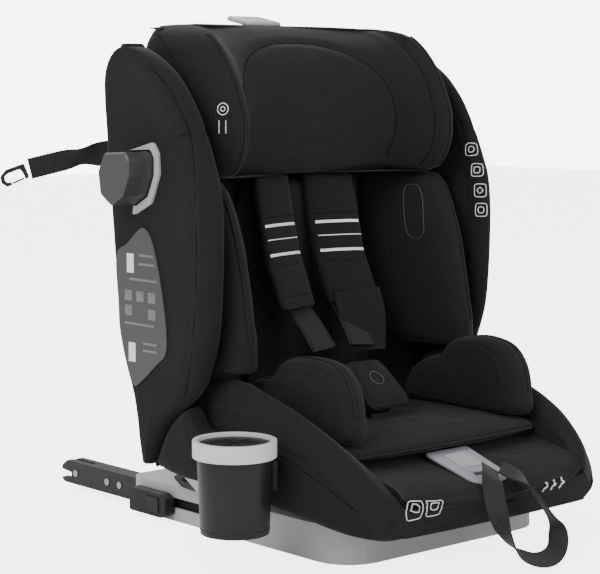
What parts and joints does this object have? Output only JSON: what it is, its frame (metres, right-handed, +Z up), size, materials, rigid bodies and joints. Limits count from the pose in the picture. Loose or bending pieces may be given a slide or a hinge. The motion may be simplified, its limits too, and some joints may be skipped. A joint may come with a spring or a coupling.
{
  "type": "convertible child car seat",
  "caption": "Child car seat with a reclining backrest, a sliding headrest, retracting anchor arms, a padded harness and a lift-off cup holder.",
  "frame": {"origin": "middle of the flat underside of the base, on the plane of symmetry", "axes": "+Z up, the seat faces -Y, +X to the side away from the cup holder"},
  "size_m": [0.572, 0.6884, 0.595],
  "materials": {
    "black_fabric": "woven black cover",
    "black_webbing": "woven polyester webbing",
    "black_plastic": "fine grain",
    "grey_plastic": "fine grain",
    "light_grey_plastic": "satin",
    "mid_grey_plastic": "satin",
    "silver_plastic": "painted silver",
    "zinc_steel": "zinc plated",
    "coated_steel": "dark coating",
    "red_plastic": "satin"
  },
  "bodies": {
    "base": {"base_tray": "grey_plastic", "seat_shell": "black_plastic", "seat_cushion": "black_fabric", "seat_bolster_left": "black_fabric", "seat_bolster_right": "black_fabric", "seat_side_panel_left": "black_fabric", "seat_side_panel_right": "black_fabric", "insert_seat_cushion": "black_fabric", "insert_arm_bolster_left": "black_fabric", "insert_arm_bolster_right": "black_fabric", "crotch_strap": "black_webbing", "crotch_pad": "black_fabric", "buckle": "black_plastic", "harness_tongue": "zinc_steel", "adjuster_plate": "silver_plastic", "adjuster_strap": "black_webbing", "cup_holder_bracket": "black_plastic", "pivot_pin_left": "zinc_steel", "pivot_pin_right": "zinc_steel"},
    "buckle_button": {"buckle_button": "red_plastic"},
    "adjuster_button": {"adjuster_button": "grey_plastic"},
    "cup_holder": {"cup_holder_cup": "black_plastic", "cup_holder_rim": "light_grey_plastic"},
    "backrest": {"backrest_shell": "black_plastic", "headrest_track": "black_plastic", "wing_left": "black_fabric", "wing_right": "black_fabric", "backrest_cushion": "black_fabric", "backrest_bolster_left": "black_fabric", "backrest_bolster_right": "black_fabric", "insert_back_cushion": "black_fabric", "pivot_bracket_left": "zinc_steel", "pivot_bracket_right": "zinc_steel", "side_pad_trim_left": "light_grey_plastic", "side_pad_trim_right": "light_grey_plastic", "shoulder_strap_left": "black_webbing", "shoulder_strap_right": "black_webbing", "tether_strap": "black_webbing", "tether_hook": "zinc_steel"},
    "tether_gate": {"tether_gate": "zinc_steel"},
    "headrest": {"headrest_shell": "black_fabric", "headrest_cushion": "black_fabric", "headrest_wing_left": "black_fabric", "headrest_wing_right": "black_fabric", "headrest_carriage": "black_plastic", "shoulder_pad_left": "black_fabric", "shoulder_pad_right": "black_fabric"},
    "headrest_lever": {"headrest_lever": "light_grey_plastic"},
    "side_pad_left": {"side_pad_left": "mid_grey_plastic"},
    "side_pad_right": {"side_pad_right": "mid_grey_plastic"},
    "isofix_frame": {"isofix_arm_left": "coated_steel", "isofix_arm_right": "coated_steel", "isofix_cross_tube": "zinc_steel", "isofix_knob_left": "black_plastic", "isofix_knob_right": "black_plastic"},
    "isofix_hook_left": {"isofix_hook_left": "zinc_steel"},
    "isofix_hook_right": {"isofix_hook_right": "zinc_steel"},
    "isofix_button_left": {"isofix_button_left": "black_plastic"},
    "isofix_button_right": {"isofix_button_right": "black_plastic"}
  },
  "joints": [
    {"name": "recline", "type": "hinge", "parent": "base", "child": "backrest", "pos_m": [0, -0.028, 0.062], "axis": [-1, 0, 0], "range_deg": [0, 7]},
    {"name": "headrest_slide", "type": "slide", "parent": "backrest", "child": "headrest", "axis": [0, 0.1045, 0.9945], "range_m": [0, 0.14]},
    {"name": "headrest_lever", "type": "hinge", "parent": "headrest", "child": "headrest_lever", "pos_m": [0, 0.14949, 0.589], "axis": [1, 0, 0], "range_deg": [0, 20], "stiffness_Nm_per_rad": 0.4},
    {"name": "isofix_slide", "type": "slide", "parent": "base", "child": "isofix_frame", "axis": [0, -1, 0], "range_m": [0, 0.1]},
    {"name": "cup_holder_lift", "type": "slide", "parent": "base", "child": "cup_holder", "axis": [0, 0, 1], "range_m": [0, 0.03]},
    {"name": "buckle_press", "type": "slide", "parent": "base", "child": "buckle_button", "axis": [0, 0.6665, -0.7455], "range_m": [0, 0.004], "stiffness_N_per_m": 400},
    {"name": "adjuster_press", "type": "slide", "parent": "base", "child": "adjuster_button", "axis": [0, 0.2833, -0.959], "range_m": [0, 0.0018], "stiffness_N_per_m": 400},
    {"name": "tether_gate_swing", "type": "hinge", "parent": "backrest", "child": "tether_gate", "pos_m": [-0.24737, 0.29301, 0.40127], "axis": [0.4695, 0.8829, 0], "range_deg": [0, 25], "stiffness_Nm_per_rad": 0.05},
    {"name": "side_pad_slide_left", "type": "slide", "parent": "backrest", "child": "side_pad_left", "axis": [1, 0, 0], "range_m": [0, 0.022]},
    {"name": "isofix_hook_left", "type": "hinge", "parent": "isofix_frame", "child": "isofix_hook_left", "pos_m": [-0.14, 0.318, 0.027], "axis": [1, 0, 0], "range_deg": [0, 30], "stiffness_Nm_per_rad": 0.5},
    {"name": "isofix_release_left", "type": "slide", "parent": "isofix_frame", "child": "isofix_button_left", "axis": [1, 0, 0], "range_m": [0, 0.002], "stiffness_N_per_m": 400},
    {"name": "side_pad_slide_right", "type": "slide", "parent": "backrest", "child": "side_pad_right", "axis": [-1, 0, 0], "range_m": [0, 0.022]},
    {"name": "isofix_hook_right", "type": "hinge", "parent": "isofix_frame", "child": "isofix_hook_right", "pos_m": [0.14, 0.318, 0.027], "axis": [1, 0, 0], "range_deg": [0, 30], "stiffness_Nm_per_rad": 0.5},
    {"name": "isofix_release_right", "type": "slide", "parent": "isofix_frame", "child": "isofix_button_right", "axis": [-1, 0, 0], "range_m": [0, 0.002], "stiffness_N_per_m": 400}
  ]
}
